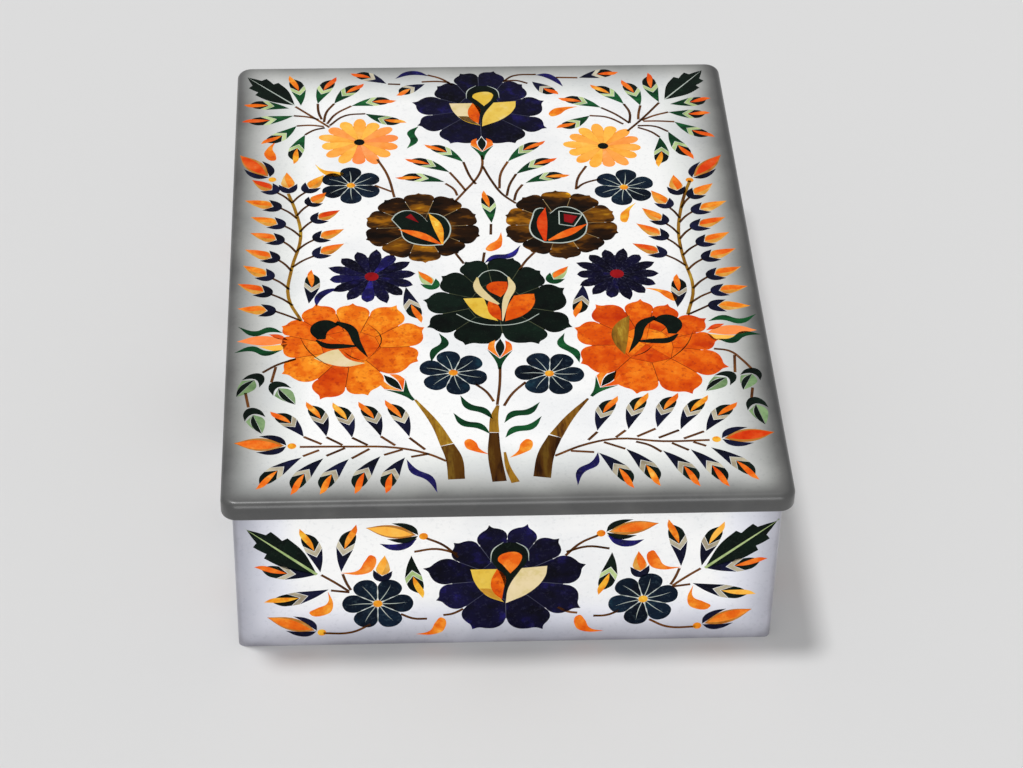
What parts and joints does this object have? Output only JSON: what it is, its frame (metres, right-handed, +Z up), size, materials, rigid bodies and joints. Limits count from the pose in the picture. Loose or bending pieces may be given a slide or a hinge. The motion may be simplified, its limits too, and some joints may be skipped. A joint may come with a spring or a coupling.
{
  "type": "inlaid marble jewelry box",
  "caption": "Rectangular white marble box with a lift-off overhanging lid and walls set with flush flower inlay in coloured stones.",
  "frame": {"origin": "centre of the box's footprint, on the surface that it stands on", "axes": "+Z up, +X to the right of the front wall, +Y from the front wall to the back"},
  "size_m": [0.158, 0.216, 0.0565],
  "materials": {
    "blue_jasper": "polished",
    "brown_jasper": "polished",
    "carnelian": "polished",
    "green_jade": "polished",
    "lapis": "polished",
    "malachite": "polished",
    "marble": "polished",
    "peach_agate": "polished",
    "tiger_eye": "polished",
    "yellow_agate": "polished"
  },
  "bodies": {
    "box": {"back_blossom_petals": "blue_jasper", "back_bud_cups": "lapis", "back_bud_flames": "carnelian", "back_hearts": "yellow_agate", "back_leaves": "malachite", "back_rose_petals": "lapis", "back_wall": "marble", "base_slab": "marble", "front_blossom_petals": "blue_jasper", "front_bud_cups": "lapis", "front_bud_flames": "carnelian", "front_hearts": "yellow_agate", "front_leaves": "malachite", "front_rose_petals": "lapis", "front_wall": "marble", "left_blossom_petals": "blue_jasper", "left_bud_cups": "lapis", "left_bud_flames": "carnelian", "left_hearts": "yellow_agate", "left_leaves": "malachite", "left_rose_petals": "lapis", "left_wall": "marble", "right_blossom_petals": "blue_jasper", "right_bud_cups": "lapis", "right_bud_flames": "carnelian", "right_hearts": "yellow_agate", "right_leaves": "malachite", "right_rose_petals": "lapis", "right_wall": "marble"},
    "lid": {"lid_blossom_petals": "blue_jasper", "lid_blue_curls": "lapis", "lid_blue_daisy_petals": "lapis", "lid_carnation_petals": "tiger_eye", "lid_centre_rose_petals": "malachite", "lid_commas": "carnelian", "lid_corner_leaves": "malachite", "lid_flower_eyes": "yellow_agate", "lid_green_bud_cups": "malachite", "lid_green_bud_flames": "carnelian", "lid_green_curls": "green_jade", "lid_hanging_leaves": "malachite", "lid_locating_plate": "marble", "lid_peach_daisy_petals": "peach_agate", "lid_rose_centres": "lapis", "lid_rose_flames": "carnelian", "lid_rose_hearts": "yellow_agate", "lid_row_bud_cups": "lapis", "lid_row_bud_flames": "carnelian", "lid_side_rose_loops": "malachite", "lid_side_rose_petals": "carnelian", "lid_slab": "marble", "lid_spray_bud_cups": "lapis", "lid_spray_bud_flames": "carnelian", "lid_top_rose_petals": "lapis", "lid_trunks": "brown_jasper", "lid_tulip_flames": "carnelian", "lid_tulip_sepals": "lapis"}
  },
  "joints": [
    {"name": "lid_lift", "type": "slide", "parent": "box", "child": "lid", "axis": [0, 0, 1], "range_m": [0, 0.08]}
  ]
}
